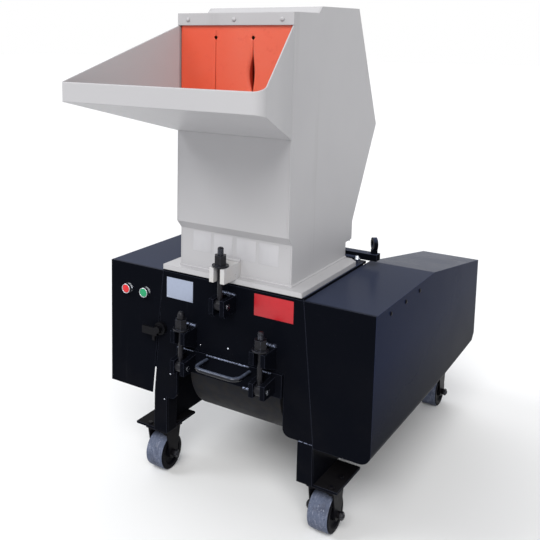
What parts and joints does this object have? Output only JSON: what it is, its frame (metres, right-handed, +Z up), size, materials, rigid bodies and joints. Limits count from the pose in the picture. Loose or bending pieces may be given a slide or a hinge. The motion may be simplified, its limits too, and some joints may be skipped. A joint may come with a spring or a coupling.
{
  "type": "plastics granulator on castors",
  "caption": "Granulator with a feed hopper and flared tray on a cutting chamber, belt and control covers, a drop-down screen cradle held by swing bolts, and castors.",
  "frame": {"origin": "on the floor, in the middle of the whole machine's outline", "axes": "+X to the machine's right as seen from its front, +Y to its back, +Z up"},
  "size_m": [0.765, 1.275, 1.284],
  "materials": {
    "black_paint": "glossy black paint",
    "castor_steel": "dark coated steel",
    "wheel_tread": "worn grey-black tread",
    "hopper_paint": "light grey paint, satin",
    "fork_paint": "light grey paint on thick plate",
    "curtain_sheet": "translucent orange-red flaps",
    "bolt_steel": "blackened steel",
    "pin_steel": "zinc plated steel",
    "handle_steel": "glossy black round bar",
    "trough_steel": "bare grey steel sheet",
    "bezel_chrome": "chrome ring",
    "stop_red": "red push button",
    "start_green": "green push button",
    "latch_plastic": "black moulded knob",
    "motor_paint": "grey enamel",
    "cowl_paint": "grey enamel on sheet"
  },
  "bodies": {
    "machine": {"front_panel": "black_paint", "side_plate_left": "black_paint", "side_plate_right": "black_paint", "rear_panel": "black_paint", "corner_posts": "black_paint", "foot_plates": "black_paint", "chamber_housing": "black_paint", "chamber_top_plate": "black_paint", "left_cover": "black_paint", "belt_guard": "black_paint", "cradle_face_plate": "black_paint", "cradle_rim": "black_paint", "cradle_lugs": "black_paint", "panel_forks": "black_paint", "top_lugs": "black_paint", "rear_beam": "black_paint", "hinge_knuckles": "black_paint", "motor_shelf": "black_paint", "lifting_eye": "black_paint", "castor_front_left_fork": "castor_steel", "castor_front_right_fork": "castor_steel", "castor_rear_left_fork": "castor_steel", "castor_rear_right_fork": "castor_steel", "hopper_front": "hopper_paint", "hopper_side_left": "hopper_paint", "hopper_side_right": "hopper_paint", "hopper_back": "hopper_paint", "hopper_roof": "hopper_paint", "feed_tray": "hopper_paint", "hopper_flange": "hopper_paint", "mouth_strip": "hopper_paint", "hopper_fork": "fork_paint", "curtain": "curtain_sheet", "bolt_pins": "pin_steel", "cradle_handle": "handle_steel", "cradle_trough": "trough_steel", "button_bezels": "bezel_chrome", "button_stop": "stop_red", "button_start": "start_green", "cover_latch": "latch_plastic", "motor_body": "motor_paint", "motor_ends": "motor_paint", "motor_feet": "motor_paint", "terminal_box": "motor_paint", "motor_cowl": "cowl_paint"},
    "wheel_front_left": {"wheel_front_left": "wheel_tread"},
    "wheel_front_right": {"wheel_front_right": "wheel_tread"},
    "wheel_rear_left": {"wheel_rear_left": "wheel_tread"},
    "wheel_rear_right": {"wheel_rear_right": "wheel_tread"},
    "swing_bolt_top": {"swing_bolt_top": "bolt_steel"},
    "swing_bolt_left": {"swing_bolt_left": "bolt_steel"},
    "swing_bolt_right": {"swing_bolt_right": "bolt_steel"}
  },
  "joints": [
    {"name": "wheel_front_left_spin", "type": "hinge", "parent": "machine", "child": "wheel_front_left", "pos_m": [-0.234, -0.2585, 0.05], "axis": [1, 0, 0], "continuous": true},
    {"name": "wheel_front_right_spin", "type": "hinge", "parent": "machine", "child": "wheel_front_right", "pos_m": [0.256, -0.2585, 0.05], "axis": [1, 0, 0], "continuous": true},
    {"name": "wheel_rear_left_spin", "type": "hinge", "parent": "machine", "child": "wheel_rear_left", "pos_m": [-0.234, 0.5875, 0.05], "axis": [1, 0, 0], "continuous": true},
    {"name": "wheel_rear_right_spin", "type": "hinge", "parent": "machine", "child": "wheel_rear_right", "pos_m": [0.256, 0.5875, 0.05], "axis": [1, 0, 0], "continuous": true},
    {"name": "swing_bolt_top_swing", "type": "hinge", "parent": "machine", "child": "swing_bolt_top", "pos_m": [0, -0.3535, 0.549], "axis": [1, 0, 0], "range_deg": [0, 120]},
    {"name": "swing_bolt_left_swing", "type": "hinge", "parent": "machine", "child": "swing_bolt_left", "pos_m": [-0.116, -0.3535, 0.359], "axis": [1, 0, 0], "range_deg": [0, 150]},
    {"name": "swing_bolt_right_swing", "type": "hinge", "parent": "machine", "child": "swing_bolt_right", "pos_m": [0.116, -0.3535, 0.359], "axis": [1, 0, 0], "range_deg": [0, 150]}
  ]
}
